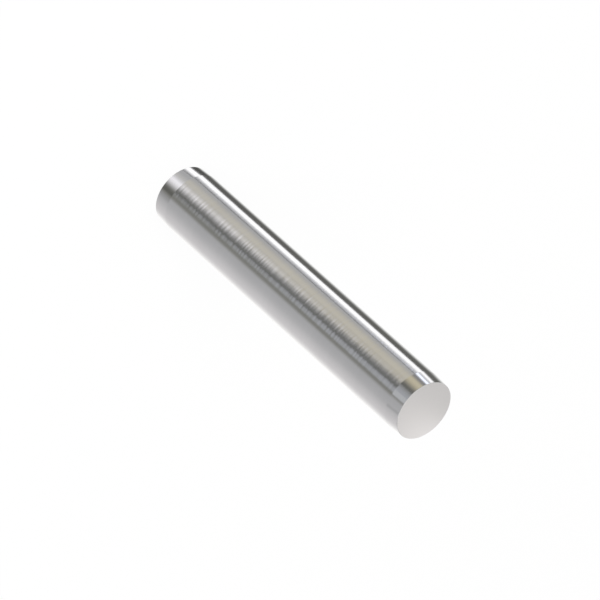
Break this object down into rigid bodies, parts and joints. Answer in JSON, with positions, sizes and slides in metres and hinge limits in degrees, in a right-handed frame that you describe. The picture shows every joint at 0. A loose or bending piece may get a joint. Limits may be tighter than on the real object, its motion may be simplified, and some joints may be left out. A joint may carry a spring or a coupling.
{
  "type": "dowel pin",
  "caption": "Solid straight dowel pin of ground bright steel with flat ends and a short tapered lead-in at each end, for locating two parts in reamed holes.",
  "frame": {"origin": "centre of the bottom end face, with the pin standing on that end", "axes": "+Z along the pin's axis, from the bottom end up to the top end; the pin is round, so +X and +Y are free"},
  "size_m": [0.0064, 0.0064, 0.0381],
  "materials": {
    "ground_steel": "bright ground steel with fine lines running round the shank, smoother tapers and satin flat ends"
  },
  "bodies": {
    "root": {"dowel_pin": "ground_steel"}
  },
  "joints": []
}
